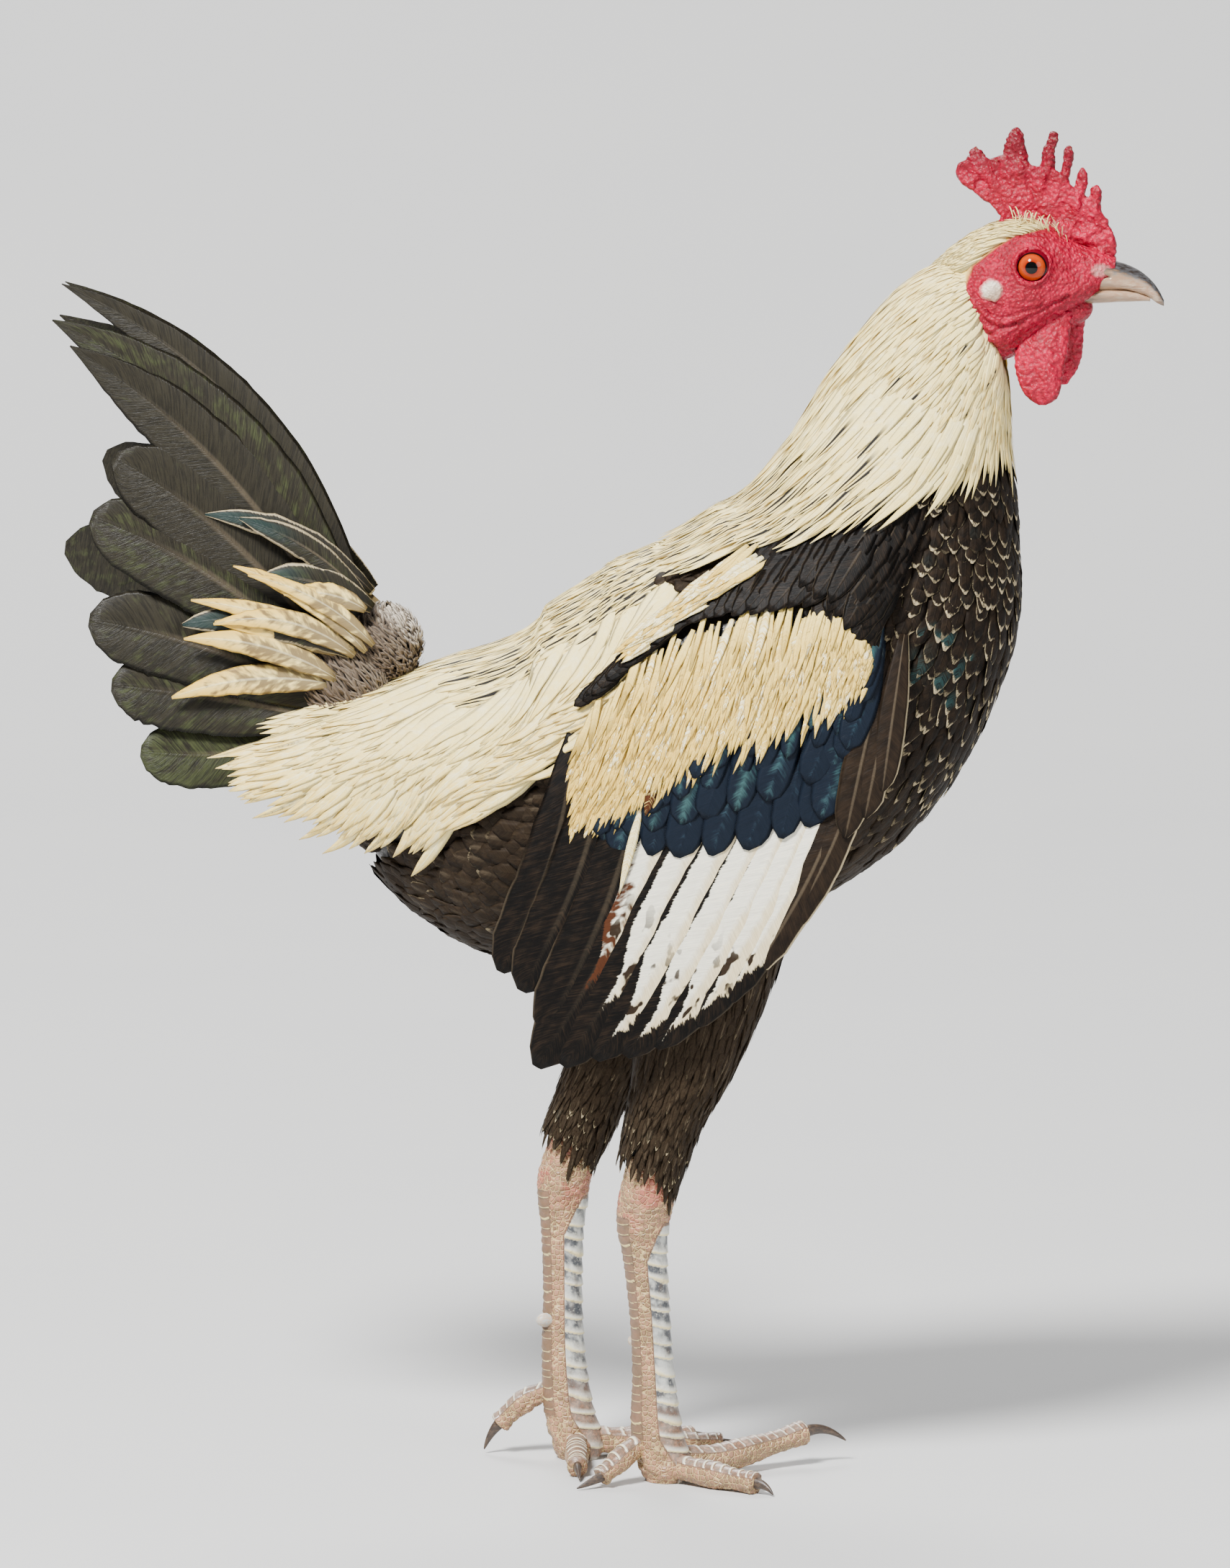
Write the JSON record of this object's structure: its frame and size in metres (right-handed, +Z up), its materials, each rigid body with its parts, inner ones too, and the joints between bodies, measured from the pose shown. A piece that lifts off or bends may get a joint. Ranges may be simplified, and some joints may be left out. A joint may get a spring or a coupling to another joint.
{
  "type": "old english game bantam",
  "caption": "Standing bantam cock as a still life-size model: upright body, folded wings, fanned tail, serrated comb, wattles and scaled legs with clawed toes.",
  "frame": {"origin": "on the floor under the middle of the bounding box", "axes": "+X the way the beak points, +Y to the left side of the bird, +Z up"},
  "size_m": [0.2941, 0.097, 0.3574],
  "materials": {
    "breast_feathers": "black-brown breast feathers laced with cream",
    "hackle_feathers": "silky straw hackles with black stripes",
    "saddle_feathers": "silky straw saddle feathers",
    "wing_feathers": "black, straw, blue-barred and white wing feathers",
    "tail_feathers": "black-brown with a green sheen",
    "thigh_feathers": "short black-brown feathers",
    "face_skin": "bare red skin",
    "comb_skin": "pebbled red skin",
    "lobe_skin": "smooth ivory skin",
    "eye_gloss": "wet orange-red eye",
    "beak_horn": "horn",
    "leg_scale": "slate scales with pale edges",
    "claw_horn": "dark horn"
  },
  "bodies": {
    "root": {"beak_lower": "beak_horn", "beak_upper": "beak_horn", "claw_left_hind": "claw_horn", "claw_left_inner": "claw_horn", "claw_left_middle": "claw_horn", "claw_left_outer": "claw_horn", "claw_right_hind": "claw_horn", "claw_right_inner": "claw_horn", "claw_right_middle": "claw_horn", "claw_right_outer": "claw_horn", "comb": "comb_skin", "earlobe_left": "lobe_skin", "earlobe_right": "lobe_skin", "eye_left": "eye_gloss", "eye_right": "eye_gloss", "head": "face_skin", "neck": "hackle_feathers", "saddle": "saddle_feathers", "shank_left": "leg_scale", "shank_right": "leg_scale", "spur_left": "claw_horn", "spur_right": "claw_horn", "tail": "tail_feathers", "thigh_left": "thigh_feathers", "thigh_right": "thigh_feathers", "toe_left_hind": "leg_scale", "toe_left_inner": "leg_scale", "toe_left_middle": "leg_scale", "toe_left_outer": "leg_scale", "toe_right_hind": "leg_scale", "toe_right_inner": "leg_scale", "toe_right_middle": "leg_scale", "toe_right_outer": "leg_scale", "torso": "breast_feathers", "wattle_left": "comb_skin", "wattle_right": "comb_skin", "wing_left": "wing_feathers", "wing_right": "wing_feathers"}
  },
  "joints": []
}
